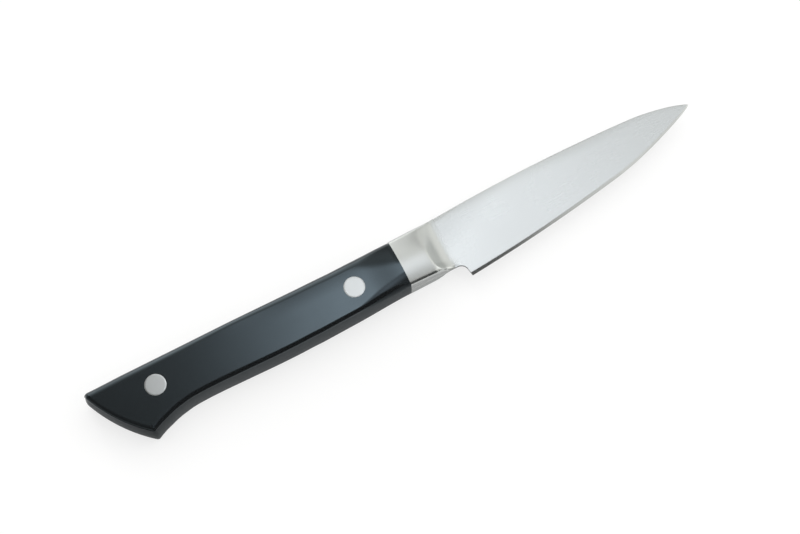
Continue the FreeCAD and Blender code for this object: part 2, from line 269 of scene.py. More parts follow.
velvet, velvet_out = new_material("black_velvet")
tree = velvet.node_tree
spot = vectors(tree, "NORMALIZE", add(tree, "ShaderNodeTexCoord").outputs["Object"])
seen = add(tree, "ShaderNodeSeparateXYZ", _0=spot).outputs
fore = fade(tree, seen["Y"], *CLOTH_FRONT, 1.0, 0.0)
aside = fade(tree, vectors(tree, "DOT_PRODUCT", spot, CLOTH_SLANT), *CLOTH_SIDE, 1.0, 0.0)
hung = fade(tree, seen["X"], *CLOTH_LEFT)
dense = maths(tree, "MULTIPLY", maths(tree, "MULTIPLY", fore, aside), hung)
weave(black_cloth, velvet, velvet_out, dense, CLOTH_COLOUR)
print("cloth", 2 * CLOTH_HALF, "m wide")

# %% [markdown]
# The foot of the cloth lies on the table in front of the knife, as an apron that keeps the rounded
# lower edges of the handle dark. The table could be darker there, but the camera would see that, so
# it is a sheet of its own just above the table, which fades in away from the knife.

# %% Apron of the cloth
APRON_HALF, APRON_LEVEL = 1.2, 0.002
APRON_SLANT, APRON_FROM, APRON_TO = (-0.35, -1.0, 0.0), 0.018, 0.045
APRON_COLOUR = (0.05, 0.05, 0.05, 1)

cloth_apron = sheet_of(
    "cloth_apron", [(a * APRON_HALF, b * APRON_HALF, APRON_LEVEL) for a, b in SQUARE])
leave_to_reflections(cloth_apron)

apron_velvet, apron_out = new_material("apron_velvet")
tree = apron_velvet.node_tree
spot = add(tree, "ShaderNodeTexCoord").outputs["Object"]
dense = fade(tree, vectors(tree, "DOT_PRODUCT", spot, APRON_SLANT), APRON_FROM, APRON_TO)
weave(cloth_apron, apron_velvet, apron_out, dense, APRON_COLOUR)
print("apron starts", APRON_FROM, "m in front of the knife")

# %% [markdown]
# Every piece of the knife is a row of closed loops, one for each station along its length. Such a
# grid could be written vertex by vertex, but numpy numbers all its faces at once: each square joins
# two neighbours on one loop with the same two on the next.

# %% From loops to a mesh
MERGE = 1e-7
SHARP = math.radians(24)


def skin(name, loops, last_cap=True):
    """A closed mesh through loops: stations by points by three coordinates, in millimetres.
    A last loop that folds flat on itself closes by merging and needs no cap."""
    stations, around, _ = loops.shape
    number = np.arange(stations * around).reshape(stations, around)
    after = np.roll(number, -1, axis=1)
    squares = np.stack([number[:-1], after[:-1], after[1:], number[1:]], axis=-1).reshape(-1, 4)
    ends = [number[0][::-1].tolist()] + [number[-1].tolist()] * last_cap
    mesh = bpy.data.meshes.new(name)
    mesh.from_pydata((loops.reshape(-1, 3) * MM).tolist(), [], squares.tolist() + ends)
    work = bmesh.new()
    work.from_mesh(mesh)
    bmesh.ops.remove_doubles(work, verts=work.verts, dist=MERGE)
    bmesh.ops.dissolve_degenerate(work, edges=work.edges, dist=MERGE)
    bmesh.ops.recalc_face_normals(work, faces=work.faces)
    work.to_mesh(mesh)
    work.free()
    mesh.shade_smooth()
    mesh.set_sharp_from_angle(angle=SHARP)
    return mesh


print("corners sharper than", round(math.degrees(SHARP)), "degrees stay sharp")

# %% [markdown]
# A surface takes the place of the solid of the same name. It could be laid over the solid, but two
# faces in one place flicker, so it replaces it, on the same body.

# %% Placing a piece
def place(name, loops, material, slot, last_cap=True):
    """Puts a skinned piece into the scene in place of the solid of the same name."""
    piece = bpy.data.objects.new(name + "_surface", skin(name, loops, last_cap))
    bpy.context.scene.collection.objects.link(piece)
    piece.data.materials.append(material)
    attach(piece, "root")
    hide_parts(name)
    lowest, highest = (np.array(corner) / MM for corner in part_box(name))
    print(name, len(piece.data.polygons), "faces, solid box", lowest.round(2), highest.round(2))
    return piece


print("pieces to place:", len(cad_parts))

# %% [markdown]
# Two small functions come up in every piece. One sets out stations, evenly or closer together at
# the ends, where a shape bends most. The other fades from 0 to 1 without a corner. Curves could be
# drawn for both, but a formula is shorter.

# %% Stations and soft steps
def steps(low, high, count, ease=0.0):
    """Numbers from low to high, drawn together at both ends by ease, from 0, even, to 1, a half
    cosine."""
    even = np.linspace(0, 1, count)
    eased = (1 - np.cos(np.pi * even)) / 2
    return low + (high - low) * ((1 - ease) * even + ease * eased)


def smooth(values, low, high):
    """The smooth step: 0 below low, 1 above high, and 3 t squared less 2 t cubed between."""
    t = np.clip((values - low) / (high - low), 0, 1)
    return t * t * (3 - 2 * t)


print("five eased steps:", steps(0, 1, 5, 1.0).round(3))

# %% [markdown]
# All of the outlines are straight runs and arcs of circles. They could be drawn as curves with
# handles, but an arc follows from its two ends and its radius: its centre lies on the middle line
# between them. The height over any station is then one square root, which suits whole arrays.

# %% Arcs
def centre_of(start, end, radius, side):
    """The centre of an arc: from the middle of its chord, square to it, as far as Pythagoras leaves
    over."""
    half = (end - start) / 2
    reach = math.sqrt(radius ** 2 - half @ half)
    return start + half + side * reach * np.array([-half[1], half[0]]) / math.hypot(*half)


def arc_height(x, start, end, radius, side):
    """How high the arc from start to end stands at x: its centre's height, less or plus the root of
    the squared radius less the squared distance along."""
    centre = centre_of(start, end, radius, side)
    return centre[1] - side * np.sqrt(np.maximum(radius ** 2 - (x - centre[0]) ** 2, 0))


half_circle = arc_height(0.0, np.array([-1.0, 0.0]), np.array([1.0, 0.0]), 1.0, -1)
print("top of a half circle of radius 1:", half_circle)

# %% [markdown]
# The cutting edge and the back are two arcs each, a slow one and a quicker one that runs to the
# tip. One curve could go through all the points, but a blade is ground on wheels and belts, so arcs
# are what it has. Near the tip both swell a little, as a honed tip does.

# %% Edge and back of the blade
SEAM, PLATE_END, SEAM_BACK = 45.15, 58.65, 8.25
HEEL = np.array([62.55, -10.65])
TIP = np.array([142.55, 6.5])
EDGE_TURN = np.array([114.45, -3.5])
SPINE_TURN = np.array([123.45, 10.3])
SPINE_START = np.array([PLATE_END, 9.1])
EDGE_RADII = (560.0, 118.0)
SPINE_RADII = (560.0, 56.0)
SPINE_SHY = 0.02
TIP_FULL, TIP_FULL_WITHIN, TIP_CLOSE = 0.2, (3.0, 12.0), 0.9


def tip_fullness(x):
    """How much fuller the outline is near the tip than its arcs: a smooth step of the distance from
    the tip, closed at the very tip by a square root."""
    away = np.maximum(TIP[0] - x, 0)
    full = TIP_FULL * (1 - smooth(away, *TIP_FULL_WITHIN))
    return full * np.sqrt(np.minimum(away / TIP_CLOSE, 1))


def edge_height(x):
    """The cutting edge: a slow arc from the heel, then a quicker one that lifts to the tip."""
    slow = arc_height(x, HEEL, EDGE_TURN, EDGE_RADII[0], 1)
    quick = arc_height(x, EDGE_TURN, TIP, EDGE_RADII[1], 1)
    return np.where(x < EDGE_TURN[0], slow, quick) - tip_fullness(x)


def blade_spine(x):
    """The back: the bolster's rising line, a slow arc, then a quicker one that drops to the tip."""
    line = SEAM_BACK + (x - SEAM) * (SPINE_START[1] - SEAM_BACK) / (PLATE_END - SEAM)
    slow = arc_height(x, SPINE_START, SPINE_TURN, SPINE_RADII[0], -1)
    quick = arc_height(x, SPINE_TURN, TIP, SPINE_RADII[1], -1)
    arcs = np.where(x < SPINE_TURN[0], slow, quick) + tip_fullness(x)
    return np.where(x < PLATE_END, line, arcs) - SPINE_SHY


print("blade depth at the heel:", round(float(blade_spine(HEEL[0]) - HEEL[1]), 2), "mm")

# %% [markdown]
# Between the bolster and the heel the sheet is cut away in a notch, the choil, so that the edge can
# be sharpened up to its end. It could be cut out of the finished blade, but here it is part of the
# lower outline: a level line, a small round, and a slope down to the heel.

# %% Choil
NECK_BELLY = -6.45
CHOIL_TOP = np.array([61.95, NECK_BELLY])
CHOIL_ROUND = 2.2


def blade_belly(x):
    """The lower outline: level, then a circle that touches both the level line and the slope, then
    the slope to the heel, then the edge."""
    fall = math.atan2(CHOIL_TOP[1] - HEEL[1], HEEL[0] - CHOIL_TOP[0])
    reach = CHOIL_ROUND * math.tan(fall / 2)
    start, stop = CHOIL_TOP[0] - reach, CHOIL_TOP[0] + reach * math.cos(fall)
    over = np.sqrt(np.maximum(CHOIL_ROUND ** 2 - (x - start) ** 2, 0))
    bend = CHOIL_TOP[1] - CHOIL_ROUND + over
    slope = CHOIL_TOP[1] - (x - CHOIL_TOP[0]) * math.tan(fall)
    neck = np.where(x < start, CHOIL_TOP[1], np.where(x < stop, bend, slope))
    return np.where(x < HEEL[0], neck, edge_height(x))


print("choil depth:", round(float(CHOIL_TOP[1] - HEEL[1]), 2), "mm")

# %% [markdown]
# No finish on the knife is quite even: steel keeps the fine lines of the belt, black scales those
# of the buffing wheel, and all have been touched. Each material could have its own marks, but two
# node groups hold them for all, and each finish takes them at its own strength.

# %% Shared surface effects
VECTOR, NUMBER = "NodeSocketVector", "NodeSocketFloat"
HAZE_CLEAR, HAZE_FULL = 0.35, 0.7


def new_group(name, inputs, outputs):
    """A node group with those sockets, and its input and output nodes."""
    group = bpy.data.node_groups.new(name, "ShaderNodeTree")
    for label, kind, value in inputs:
        socket = group.interface.new_socket(label, in_out="INPUT", socket_type=kind)
        socket.default_value = value
    for label, kind in outputs:
        group.interface.new_socket(label, in_out="OUTPUT", socket_type=kind)
    return group, group.nodes.new("NodeGroupInput"), group.nodes.new("NodeGroupOutput")


belt_lines, taken, given = new_group(
    "belt_lines", [("Place", VECTOR, (0, 0, 0)), ("Stretch", VECTOR, (1, 1, 1))],
    [("Lines", NUMBER)])
drawn_out = vectors(belt_lines, "MULTIPLY", taken.outputs["Place"], taken.outputs["Stretch"])
threads = add(belt_lines, "ShaderNodeTexNoise", Vector=drawn_out,
              Scale=1.0, Detail=4.0, Roughness=0.7)
belt_lines.links.new(threads.outputs[0], given.inputs["Lines"])

smudges, taken, given = new_group(
    "smudges", [("Place", VECTOR, (0, 0, 0)), ("Size", NUMBER, 60.0)], [("Haze", NUMBER)])
cloud = add(smudges, "ShaderNodeTexNoise", Vector=taken.outputs["Place"],
            Scale=taken.outputs["Size"], Detail=3.0, Roughness=0.55)
haze = fade(smudges, cloud.outputs[0], HAZE_CLEAR, HAZE_FULL)
smudges.links.new(haze, given.inputs["Haze"])
print("groups:", [g.name for g in bpy.data.node_groups])

# %% [markdown]
# A finish also changes from place to place: a honed edge is smoother, and a wall that the wheel
# hardly reaches is duller. Such a zone could be a material of its own, but that leaves a hard line,
# so masks fade in along a direction or come from a number stored on the mesh.

# %% Zones of a finish
ALONG, ACROSS, OUTWARD = (1, 0, 0), (0, 1, 0), (0, 0, 1)
MIDDLE = 6.0


def zone(*bounds, rougher=0.0, tone=1.0):
    """A zone within some bounds, with the roughness that it adds and the tone that it leaves.
    A bound is a direction with the places where it starts and stops to fade, in millimetres, or the
    name of a mesh attribute with None."""
    return bounds, rougher, tone


def zone_mask(tree, spot, source, places):
    """A mask of 1 inside a bound and 0 outside it: the attribute itself, or a smooth step of the
    distance along a direction. OUTWARD counts from the middle of the knife to both sides."""
    if places is None:
        return add(tree, "ShaderNodeAttribute", {"attribute_name": source}).outputs["Fac"]
    away = vectors(tree, "SUBTRACT", spot, (0, 0, MIDDLE * MM))
    away = vectors(tree, "DOT_PRODUCT", away, source)
    if source == OUTWARD:
        away = maths(tree, "ABSOLUTE", away)
    return fade(tree, away, places[0] * MM, places[1] * MM, 1.0, 0.0)


print("directions of the zones:", ALONG, ACROSS, OUTWARD)

# %% [markdown]
# Every finish is put together in the same way. It could be one flat colour and one roughness, but
# the lines and smudges change both a little, and the lines give a faint relief, which is what tells
# satin steel from chrome, and plastic from paint.

# %% One finish
WEAR_LEAST, WEAR_MOST = 0.3, 1.5
LINE_DEPTH = 0.00002


def finish_of(name, colours, roughness, stretch, relief, metal, haze_size, zones=()):
    """A finish between two colours and two roughnesses: the lines choose the colour, and lines plus
    haze the roughness. Each zone adds its roughness times its mask, and scales the colour."""
    material, out = new_material(name)
    tree = material.node_tree
    spot = add(tree, "ShaderNodeTexCoord").outputs["Object"]
    lines = add(tree, "ShaderNodeGroup", {"node_tree": belt_lines},
                Place=spot, Stretch=stretch).outputs["Lines"]
    haze = add(tree, "ShaderNodeGroup", {"node_tree": smudges},
               Place=spot, Size=haze_size).outputs["Haze"]
    tone = add(tree, "ShaderNodeMix", {"data_type": "RGBA"},
               _0=lines, _6=colours[0], _7=colours[1]).outputs[2]
    rough = add(tree, "ShaderNodeMapRange", Value=maths(tree, "ADD", lines, haze),
                From_Min=WEAR_LEAST, From_Max=WEAR_MOST,
                To_Min=roughness[0], To_Max=roughness[1]).outputs[0]
    for bounds, rougher, left in zones:
        inside = zone_mask(tree, spot, *bounds[0])
        for bound in bounds[1:]:
            inside = maths(tree, "MULTIPLY", inside, zone_mask(tree, spot, *bound))
        if rougher:
            rough = maths(tree, "MULTIPLY_ADD", inside, rougher, rough)
        if left < 1:
            kept = add(tree, "ShaderNodeMapRange", Value=inside, To_Min=1.0, To_Max=left).outputs[0]
            tone = vectors(tree, "SCALE", tone, Scale=kept)
    bump = add(tree, "ShaderNodeBump", Strength=relief, Distance=LINE_DEPTH, Height=lines)
    shader = add(tree, "ShaderNodeBsdfPrincipled", Base_Color=tone, Roughness=rough,
                 Metallic=metal, Normal=bump.outputs[0])
    tree.links.new(shader.outputs[0], out.inputs["Surface"])
    return material, shader


print("depth of the finest lines:", LINE_DEPTH / MM, "mm")

# %% [markdown]
# The blade is satin from a fine belt run along it, the bolster is buffed across, and the rivet
# heads were sanded flush. One steel could dress all three, but the way of the lines sets them
# apart. The blade's rim is rougher and painted darker, as painted shade for the shaded table that
# it reflects, and its bevel is honed. The corner of its back beside the bolster is painted darker
# too, as painted shade for dimmer reflected light there, and that painted shade goes on over the
# foot of the bolster's scoop. The bolster's belly wall is smoother, and painted darker as painted
# shade for the shaded table that it reflects.

# %% Finishes of the steel
STEEL = 1.0
# Painted shade: the rim's darker tone stands for the shaded table that it reflects; the bevel is
# only smoother
SHADED_RIM, HONED = ("rim", None), ("honed", None)
# Painted shade: the back's corner beside the bolster is darkened for dimmer reflected light
SHADED_CORNER, CORNER_SHADE = ((1, -2, 0), (46.0, 69.0)), 0.835
SCOOP_FOOT = (ALONG, (60.0, 58.3))
# Painted shade: the bolster's belly wall is darkened for the shaded table that it reflects
SHADED_BELLY_WALL = (ACROSS, (-6.1, -5.5))
CHEEK_TINT = (0.7, 0.7, 0.7, 1)

# The rim's and the corner's darker tones on the blade are painted shade
satin_blade, _ = finish_of(
    "satin_blade", colours=[(0.562, 0.58, 0.576, 1), (0.575, 0.592, 0.589, 1)],
    roughness=(0.265, 0.285), stretch=(60.0, 14000.0, 14000.0), relief=0.005, metal=STEEL,
    haze_size=40.0, zones=[zone(SHADED_RIM, rougher=0.1, tone=0.3), zone(HONED, rougher=-0.14),
                           zone(SHADED_CORNER, tone=CORNER_SHADE)])
# The belly wall's darker tone and the corner's over the scoop's foot are painted shade
buffed_bolster, cheek_shader = finish_of(
    "buffed_bolster", colours=[(0.63, 0.65, 0.64, 1), (0.645, 0.665, 0.655, 1)],
    roughness=(0.3, 0.34), stretch=(9000.0, 300.0, 300.0), relief=0.02, metal=STEEL,
    haze_size=120.0, zones=[zone(SHADED_BELLY_WALL, rougher=-0.16, tone=0.77),
                            zone(SCOOP_FOOT, rougher=-0.045, tone=0.89),
                            zone(SCOOP_FOOT, SHADED_CORNER, tone=CORNER_SHADE)])
cheek_shader.inputs["Specular Tint"].default_value = CHEEK_TINT
flush_rivet, _ = finish_of(
    "flush_rivet", colours=[(0.48, 0.494, 0.491, 1), (0.49, 0.505, 0.502, 1)],
    roughness=(0.275, 0.29), stretch=(300.0, 14000.0, 300.0), relief=0.005, metal=STEEL,
    haze_size=200.0)
print("steel:", [m.name for m in (satin_blade, buffed_bolster, flush_rivet)])

# %% [markdown]
# The scales are black plastic, buffed to a soft shine on their sides. The wall between the sides is
# duller, except at the back. It could be a second black, but one finish with a zone keeps the
# change soft.

# %% Finish of the scales
PLASTIC = 0.0
WALL_BETWEEN, BELOW_BACK = (OUTWARD, (4.6, 5.6)), (ACROSS, (4.0, 6.0))
SCALE_SHINE, SCALE_TINT = 0.56, (0.7, 0.89, 1.0, 1)

black_scale, scale_shader = finish_of(
    "black_scale", colours=[(0.004, 0.0042, 0.0045, 1), (0.008, 0.0083, 0.0086, 1)],
    roughness=(0.11, 0.14), stretch=(200.0, 6000.0, 6000.0), relief=0.02, metal=PLASTIC,
    haze_size=50.0, zones=[zone(WALL_BETWEEN, BELOW_BACK, rougher=0.45)])
scale_shader.inputs["Specular IOR Level"].default_value = SCALE_SHINE
scale_shader.inputs["Specular Tint"].default_value = SCALE_TINT
print("plastic:", black_scale.name)

# %% [markdown]
# The blade is ground flat on both sides, from full thickness at the back to a thin line above the
# edge, where a steeper bevel makes it sharp. It thins towards the tip as well. A solid could be cut
# by planes, but here the thickness is simply the least of the planes' heights over each point.

# %% Faces and bevel of the blade
EDGE_HALF, PLATE_HALF = 0.375, 1.0
FACE_RISE, FACE_TAPER = 0.034, 0.0056
TIP_THINNED, THIN_FROM = 0.00017, 101.0
BACK_ROLL, ROLL_RADIUS = 3.6, 48.0
ROLL_NARROWED, NARROWS_FROM = 0.7, SPINE_TURN[0] - 20
HEEL_BEVEL, TIP_BEVEL, BEVEL_EASED = 21.7, 18.0, (74.0, 107.0)
BEVEL_HALF = 0.03


def ground_half(x, y):
    """Half the thickness of the ground blade: a plane that rises towards the back and falls towards
    the tip, thinned by a square law near the tip and rolled over in a large circle at the back."""
    plane = EDGE_HALF + FACE_RISE * (y - HEEL[1]) - FACE_TAPER * (x - PLATE_END)
    thinned = TIP_THINNED * np.maximum(x - THIN_FROM, 0) ** 2
    width = BACK_ROLL * (1 - ROLL_NARROWED * smooth(x, NARROWS_FROM, TIP[0]))
    rolled_over = np.maximum(y - blade_spine(x) + width, 0) ** 2 / (2 * ROLL_RADIUS)
    return np.minimum(plane - thinned, PLATE_HALF) - rolled_over


def bevel_rise(x):
    """How steeply the bevel climbs: the tangent of its angle, which is largest at the heel."""
    return np.tan(np.radians(HEEL_BEVEL + (TIP_BEVEL - HEEL_BEVEL) * smooth(x, *BEVEL_EASED)))


def bevel_top(x):
    """Where the bevel meets the ground face: the two straight heights, set equal."""
    edge = edge_height(x)
    return edge + (ground_half(x, edge) - BEVEL_HALF) / (bevel_rise(x) - FACE_RISE)


print("bevel at the heel:", round(float(bevel_top(HEEL[0]) - HEEL[1]), 2), "mm high")

# %% [markdown]
# Behind the seam the same steel goes on as the tang, a narrow tongue inside the handle. It could be
# left out, as nobody sees it, but the knife would come apart without it. Its two lines are straight
# and end in rounded corners.

# %% Tang
TANG_END, TANG_MIDDLE, TANG_ROUND = -36.55, 0.0, 2.4
TANG_LOW, TANG_HIGH = (-4.2, -3.5), (4.4, 3.7)
TANG_CORNER_STATIONS, QUARTER = 9, math.pi / 2


def tang_edge(x, root, end):
    """The tang's upper or lower line: straight from the seam to its end, less what a quarter circle
    takes off its corner."""
    line = end + (root - end) * (x - TANG_END) / (SEAM - TANG_END)
    over = np.clip(TANG_END + TANG_ROUND - x, 0, TANG_ROUND)
    return line - np.sign(line) * (TANG_ROUND - np.sqrt(TANG_ROUND ** 2 - over ** 2))


corner_x = TANG_END + TANG_ROUND * (1 - np.cos(steps(0, QUARTER, TANG_CORNER_STATIONS)))
tang_x = np.concatenate([corner_x, [TANG_MIDDLE, SEAM]])
tang_low, tang_high = tang_edge(tang_x, *TANG_LOW), tang_edge(tang_x, *TANG_HIGH)
print("tang", round(SEAM - TANG_END, 2), "mm long")

# %% [markdown]
# The stations along the blade lie closest round the choil and at the tip. They could be even, but
# the tip would then be a few long faces. Four heights describe the loop at a station: the edge, the
# turn from bevel to face, the foot of the small round at the back, and the back itself.

# %% Stations of the blade
# From, to, how many and how eased: the stations of each run along the blade
BLADE_RUNS = [(SEAM, PLATE_END, 14, 0.0), (PLATE_END, HEEL[0], 44, 0.0),
              (HEEL[0], EDGE_TURN[0], 110, 0.0), (EDGE_TURN[0], TIP[0], 90, 0.6)]
CREST, CREST_SHARE = 0.22, 0.3
TANG_TURN, LEAST_TURN, TURN_SHARE = 0.05, 0.02, 0.4

blade_x = np.concatenate([[SEAM]] + [steps(*run)[1:] for run in BLADE_RUNS])
station_x = np.concatenate([tang_x, blade_x])
in_tang = np.arange(len(station_x)) < len(tang_x)
belly, spine = blade_belly(blade_x), blade_spine(blade_x)
low = np.concatenate([tang_low, belly])
high = np.concatenate([tang_high, np.maximum(spine, belly)])
depth = high - low
crest = np.minimum(CREST, CREST_SHARE * depth)
turn = np.where(in_tang, low + TANG_TURN, np.maximum(bevel_top(station_x), low + LEAST_TURN))
turn = np.minimum(turn, low + TURN_SHARE * depth)
print("stations:", len(tang_x), "on the tang,", len(blade_x), "on the blade")

# %% [markdown]
# Each loop runs up one face, from the edge over the bevel and the ground face to a small round at
# the back, and down the other. Sculpting could give such a shape too, but rows that follow the line
# between bevel and face keep that line crisp.

# %% Blade
BEVEL_ROWS, FACE_ROWS, FACE_EASE = [0, 0.5, 0.94], 44, 0.5
CREST_ROWS, CREST_DEEP = 7, 0.6

rise = np.concatenate([BEVEL_ROWS, 1 + steps(0, 1, FACE_ROWS, FACE_EASE)])
X = np.broadcast_to(station_x[:, None], (len(station_x), len(rise)))
below = low[:, None] + rise * (turn - low)[:, None]
above = turn[:, None] + (rise - 1) * (high - crest - turn)[:, None]
Y = np.where(rise < 1, below, above)
flat = np.where(in_tang[:, None], PLATE_HALF, ground_half(X, Y))
bevelled = BEVEL_HALF + bevel_rise(X) * (Y - edge_height(X))
bevelled = np.where(in_tang[:, None], PLATE_HALF, bevelled)
H = np.maximum(np.minimum(flat, bevelled), BEVEL_HALF)

angle = steps(0, QUARTER, CREST_ROWS)[1:]
crest_deep = np.minimum(crest[:, None], CREST_DEEP * H[:, -1:])
crest_y = (high - crest)[:, None] + crest[:, None] * np.sin(angle)
crest_h = H[:, -1:] - crest_deep * (1 - np.cos(angle))
Y, H = np.hstack([Y, crest_y]), np.hstack([H, crest_h])
X = np.broadcast_to(station_x[:, None], Y.shape)
right = np.stack([X, Y, MIDDLE + H], axis=-1)
left = np.stack([X, Y, MIDDLE - H], axis=-1)
blade = place("blade", np.concatenate([right, left[:, ::-1]], axis=1), satin_blade, "blade_steel")

# %% [markdown]
# The rim of the sheet is rougher than the ground faces and painted darker, as painted shade for
# the shaded table that it reflects: darkest round the choil, and weakest beside the bolster. The
# bevel is honed smooth. Both could be painted on, but they are found by the way their faces lean,
# and handed to the finish as attributes of the mesh.

# %% Rim and bevel of the blade
RIM_LEAN, HONED_LEAN = 0.5, -0.2
# How much of the rim's painted shade stays beside the bolster, and where along it grows to full
RIM_SHADE_BY_BOLSTER, RIM_SHADE_GROWS = 0.42, (57.0, 60.5)


def mark(piece, name, values):
    """Stores one number for each face of a piece, as an attribute that its finish can read."""
    attribute = piece.data.attributes.new(name, "FLOAT", "FACE")
    attribute.data.foreach_set("value", values.astype(np.float32))


normals = np.empty(3 * len(blade.data.polygons))
centres = np.empty_like(normals)
blade.data.polygons.foreach_get("normal", normals)
blade.data.polygons.foreach_get("center", centres)
on_rim = np.abs(normals[2::3]) < RIM_LEAN
on_bevel = (normals[1::3] < HONED_LEAN) & ~on_rim
# Painted shade on the rim, full round the choil and weaker beside the bolster
rim_shade = RIM_SHADE_BY_BOLSTER + (1 - RIM_SHADE_BY_BOLSTER) * smooth(centres[::3] / MM, *RIM_SHADE_GROWS)
mark(blade, "rim", np.where(on_rim, rim_shade, 0))
mark(blade, "honed", on_bevel)
print("rim faces:", int(on_rim.sum()), "bevel faces:", int(on_bevel.sum()))

# %% [markdown]
# The bolster is a pair of steel cheeks welded to the blade, crowned across and scooped out in front
# so that a finger can lie there. A cutter could be swept through a block, but the scoop has to end
# level with the ground face, so a cheek is the lesser of crown and scoop, with a soft corner
# between them.

# %% Crown and scoop of the bolster
CROWN_RADIUS, SEAM_APEX = 18.0, 5.8
CHEEK_FALL = 1.05 / (PLATE_END - SEAM)
SCOOP_RIM, SCOOP_END = 53.6, 60.1
RUNOUT, RUNOUT_RADIUS = 1.2, 24.0
SCOOP_RADIUS, SCOOP_STEEP = 3.0, 1.06
SCOOP_FLARE, FLARE_FROM = 0.8, (3.5, 6.4)
RIM_SOFT, RIM_SOFTER, SOFTER_FROM, SOFT_SHARE = 0.22, 1.5, (0.0, 6.5), (0.35, 0.9)
LIP_FROM, LIP_RADIUS, LIP_ROOM = 3.8, 5.5, 1.5
LIP_ALONG = (SCOOP_RIM - 0.4, SCOOP_RIM + 1.4)


def soft_least(a, b, width):
    """The lesser of two heights with a soft corner: their mean, less half the root of their squared
    gap plus the squared width."""
    return (a + b - np.sqrt((a - b) ** 2 + width ** 2)) / 2


def scoop_end(y):
    """Where the scoop runs out on the blade: square across, then flaring forward at the belly."""
    return SCOOP_END + SCOOP_FLARE * smooth(-y, *FLARE_FROM)


def cheek_height(x, y):
    """The crown, falling towards the blade, or the scoop, whichever is lower. The scoop leaves the
    blade's face without a corner, in a wide bend and then a tight one, climbs straight, and beside
    the belly it rolls over in a lip. Crown, bends and lip rise or fall by a squared distance over
    twice a radius."""
    crown = SEAM_APEX - CHEEK_FALL * (x - SEAM) - y ** 2 / (2 * CROWN_RADIUS)
    end, base = scoop_end(y), ground_half(x, y)
    short = np.maximum(end - x, 0)
    gentle, leave = np.minimum(short, RUNOUT), RUNOUT / RUNOUT_RADIUS
    bent = np.clip(short - RUNOUT, 0, SCOOP_RADIUS * (SCOOP_STEEP - leave))
    scoop = base + gentle ** 2 / (2 * RUNOUT_RADIUS) + leave * bent + bent ** 2 / (2 * SCOOP_RADIUS)
    scoop = scoop + SCOOP_STEEP * (short - gentle - bent)
    soft = RIM_SOFT + RIM_SOFTER * smooth(y, *SOFTER_FROM)
    height = soft_least(crown, scoop, soft * smooth(short / (end - SCOOP_RIM), *SOFT_SHARE))
    lip = np.maximum(-y - LIP_FROM, 0) ** 2 / (2 * LIP_RADIUS) * smooth(x, *LIP_ALONG)
    return np.maximum(height - lip * np.clip((height - base) / LIP_ROOM, 0, 1), base)


print("cheek at the seam:", round(float(cheek_height(SEAM, 0.0)), 2), "mm from the middle")

# %% [markdown]
# Each loop of a cheek climbs the belly wall, turns over a round, crosses the crown, goes down the
# same way at the back, and returns along the blade. A bevel could round the edges, but here the
# rounds run out with the cheek, so every row knows its share of the wall and how far it is sunk
# below the crown at either edge.

# %% Rows of a cheek
SPINE_LINE, BELLY_EDGE, SPINE_EDGE = 8.8, 0.95, 1.1
WALL_ROWS, EDGE_ROWS, CROWN_ROWS = np.array([0, 0.4, 0.8]), 11, 44

quarter = steps(0, QUARTER, EDGE_ROWS)
crossing = steps(NECK_BELLY + BELLY_EDGE, SPINE_LINE - SPINE_EDGE, CROWN_ROWS)[1:-1]
outer = np.concatenate([NECK_BELLY + BELLY_EDGE * (1 - np.cos(quarter)), crossing,
                        SPINE_LINE - SPINE_EDGE * (1 - np.cos(quarter[::-1]))])
foot, top = len(WALL_ROWS), len(WALL_ROWS) + len(outer)
row_y = np.concatenate([[NECK_BELLY] * foot, outer, [SPINE_LINE] * foot, outer[::-1]])

belly_sink, spine_sink, wall = np.zeros((3, len(row_y)))
belly_sink[:foot] = spine_sink[top:top + foot] = 1
belly_sink[foot:foot + EDGE_ROWS] = 1 - np.sin(quarter)
spine_sink[top - EDGE_ROWS:top] = 1 - np.sin(quarter[::-1])
wall[:foot], wall[foot:top], wall[top:top + foot] = WALL_ROWS, 1, WALL_ROWS[::-1]
print("rows of a cheek:", len(row_y))

# %% [markdown]
# The rim of the scoop is where the light breaks. The loops could be evenly spaced, but they draw
# together towards that rim, and one follows it. Where a row lies depends on its loop, and the loop
# on where the scoop ends in that row, so a few rounds settle both.

# %% Bolster cheeks
BEFORE_STATIONS, SCOOP_STATIONS, SCOOP_EASE = 12, 46, 0.3
RIM_GAPS = np.array([0.9, 0.65, 0.45, 0.3, 0.18, 0.08])
SETTLING_ROUNDS = 4
BELLY_SINK, BELLY_ROOM = 0.9, 0.7
SPINE_SINK, SPINE_ROOM = 1.1, 0.85

before = np.concatenate([steps(SEAM, SCOOP_RIM - RIM_GAPS[0], BEFORE_STATIONS),
                         SCOOP_RIM - RIM_GAPS[1:]])
before = np.broadcast_to(before[:, None], (len(before), len(row_y)))
left_over = steps(1, 0, SCOOP_STATIONS, SCOOP_EASE)[:, None]
end = scoop_end(row_y)
for _ in range(SETTLING_ROUNDS):
    x = np.vstack([before, end - (end - SCOOP_RIM) * left_over])
    low, high = blade_belly(x), blade_spine(x)
    y = low + (high - low) * (row_y - NECK_BELLY) / (SPINE_LINE - NECK_BELLY)
    end = scoop_end(y[-1])

base, height = ground_half(x, y), cheek_height(x, y)
room = np.maximum(height - base, 0)
sunk = height - belly_sink * np.minimum(BELLY_SINK, BELLY_ROOM * room)
sunk = sunk - spine_sink * np.minimum(SPINE_SINK, SPINE_ROOM * room)
h = base + wall * (sunk - base)
for name, side in (("bolster_right", 1), ("bolster_left", -1)):
    loops = np.stack([x, y, MIDDLE + side * h], axis=-1)
    place(name, loops, buffed_bolster, "bolster_steel", last_cap=False)

# %% [markdown]
# Two black scales make the grip: a straight back, a belly that flares into a beak, and a rounded
# butt. The outline could be traced by hand, but it too is runs and arcs: the flare leaves the belly
# level, the butt is another arc, and small circles that touch both neighbours round the corners.

